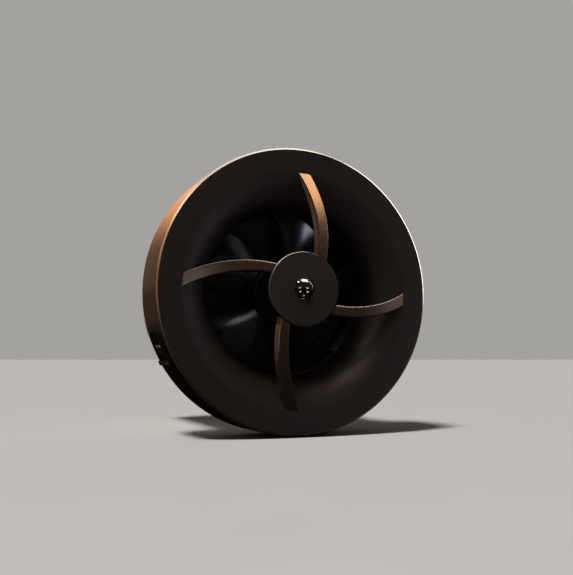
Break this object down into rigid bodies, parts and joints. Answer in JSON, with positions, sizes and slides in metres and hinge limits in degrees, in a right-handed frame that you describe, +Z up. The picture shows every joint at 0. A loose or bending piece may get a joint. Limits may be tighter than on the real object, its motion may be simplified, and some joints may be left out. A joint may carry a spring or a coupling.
{
  "type": "heat recovery ventilation unit",
  "caption": "Round through-wall heat recovery unit: black indoor cover with bellmouth, curved vanes and sensor hub, fan, wall plate, and a telescopic sleeve holding a ceramic heat store.",
  "frame": {"origin": "centre of the wall plate's screw circle, on the wall surface (y = 0)", "axes": "+Y goes into the wall along the unit's axis towards outdoors, the indoor face looks along -Y, +Z is up, +X is to the right of someone facing the unit"},
  "size_m": [0.218, 0.2099, 0.218],
  "materials": {
    "cover_black": "satin moulded, fine spark texture",
    "vane_black": "satin moulded",
    "hub_black": "satin moulded",
    "bezel_black": "gloss",
    "lens_smoke": "clear smoked, polished",
    "board_green": "solder mask",
    "lamp_white": "clear epoxy",
    "lead_grey": "matt",
    "plug_cream": "moulded",
    "pin_brass": "tinned",
    "magnet_nickel": "nickel plated",
    "screw_zinc": "zinc plated",
    "plate_dark": "moulded",
    "foam_grey": "closed-cell foam",
    "fan_black": "glass-filled, matt",
    "tube_brass": "turned",
    "bearing_steel": "ground",
    "laminate_steel": "stacked laminations",
    "coil_copper": "enamelled wire",
    "lead_black": "matt",
    "module_black": "potted",
    "capacitor_blue": "sleeved",
    "terminal_green": "moulded",
    "grommet_rubber": "moulded rubber",
    "switch_black": "semi-gloss",
    "mark_white": "moulded insert",
    "lead_red": "gloss sleeving",
    "duct_white": "extruded",
    "foam_core": "expanded bead foam",
    "ceramic": "fired, porous",
    "filter_felt": "carbon-loaded non-woven felt",
    "rotor_steel": "deep drawn",
    "magnet_ferrite": "bonded ferrite",
    "grille_grey": "moulded",
    "mesh_steel": "woven wire"
  },
  "bodies": {
    "wall": {"wall_plate": "plate_dark", "wall_gasket": "foam_grey", "plate_magnets": "magnet_nickel", "fan_housing": "fan_black", "fan_screws": "screw_zinc", "bearing_tube": "tube_brass", "bearing_front": "bearing_steel", "bearing_rear": "bearing_steel", "stator_core": "laminate_steel", "stator_coils": "coil_copper", "motor_board": "board_green", "motor_lead": "lead_black", "main_board": "board_green", "board_screws": "screw_zinc", "power_module": "module_black", "main_capacitor": "capacitor_blue", "terminal_block": "terminal_green", "terminal_screws": "screw_zinc", "cable_grommet": "grommet_rubber", "cable_clamp": "plug_cream", "clamp_screws": "screw_zinc", "board_socket": "plug_cream", "motor_plug": "plug_cream", "control_cover": "fan_black", "control_screws": "screw_zinc", "switch_body": "switch_black", "switch_lead": "lead_red", "inner_sleeve": "duct_white", "sleeve_seal": "grommet_rubber", "core_shell_upper": "foam_core", "core_shell_lower": "foam_core", "ceramic_core": "ceramic", "filter_frame_front": "fan_black", "filter_pad_front": "filter_felt", "filter_frame_rear": "fan_black", "filter_pad_rear": "filter_felt"},
    "cover": {"outer_shell": "cover_black", "bell_ring": "cover_black", "vane_spider": "vane_black", "hub_cap": "hub_black", "sensor_bezel": "bezel_black", "sensor_lens": "lens_smoke", "sensor_board": "board_green", "status_lamps": "lamp_white", "sensor_lead": "lead_grey", "cover_plug": "plug_cream", "plug_pins": "pin_brass", "cover_magnets": "magnet_nickel", "shell_screws": "screw_zinc"},
    "rotor": {"impeller": "fan_black", "rotor_cup": "rotor_steel", "rotor_magnet": "magnet_ferrite", "motor_shaft": "bearing_steel", "shaft_clip": "rotor_steel"},
    "rocker": {"rocker_button": "switch_black", "rocker_mark": "mark_white", "rocker_pin": "bearing_steel"},
    "outdoor_end": {"outer_sleeve": "duct_white", "outdoor_grille": "grille_grey", "insect_mesh": "mesh_steel"}
  },
  "joints": [
    {"name": "impeller_spin", "type": "hinge", "parent": "wall", "child": "rotor", "pos_m": [0, 0, 0], "axis": [0, 1, 0], "continuous": true},
    {"name": "cover_pull", "type": "slide", "parent": "wall", "child": "cover", "axis": [0, -1, 0], "range_m": [0, 0.06]},
    {"name": "rocker_tilt", "type": "hinge", "parent": "wall", "child": "rocker", "pos_m": [-0.0948, 0, -0.04129], "axis": [0, -1, 0], "range_deg": [0, 18]},
    {"name": "sleeve_telescope", "type": "slide", "parent": "wall", "child": "outdoor_end", "axis": [0, 1, 0], "range_m": [0, 0.1]}
  ]
}
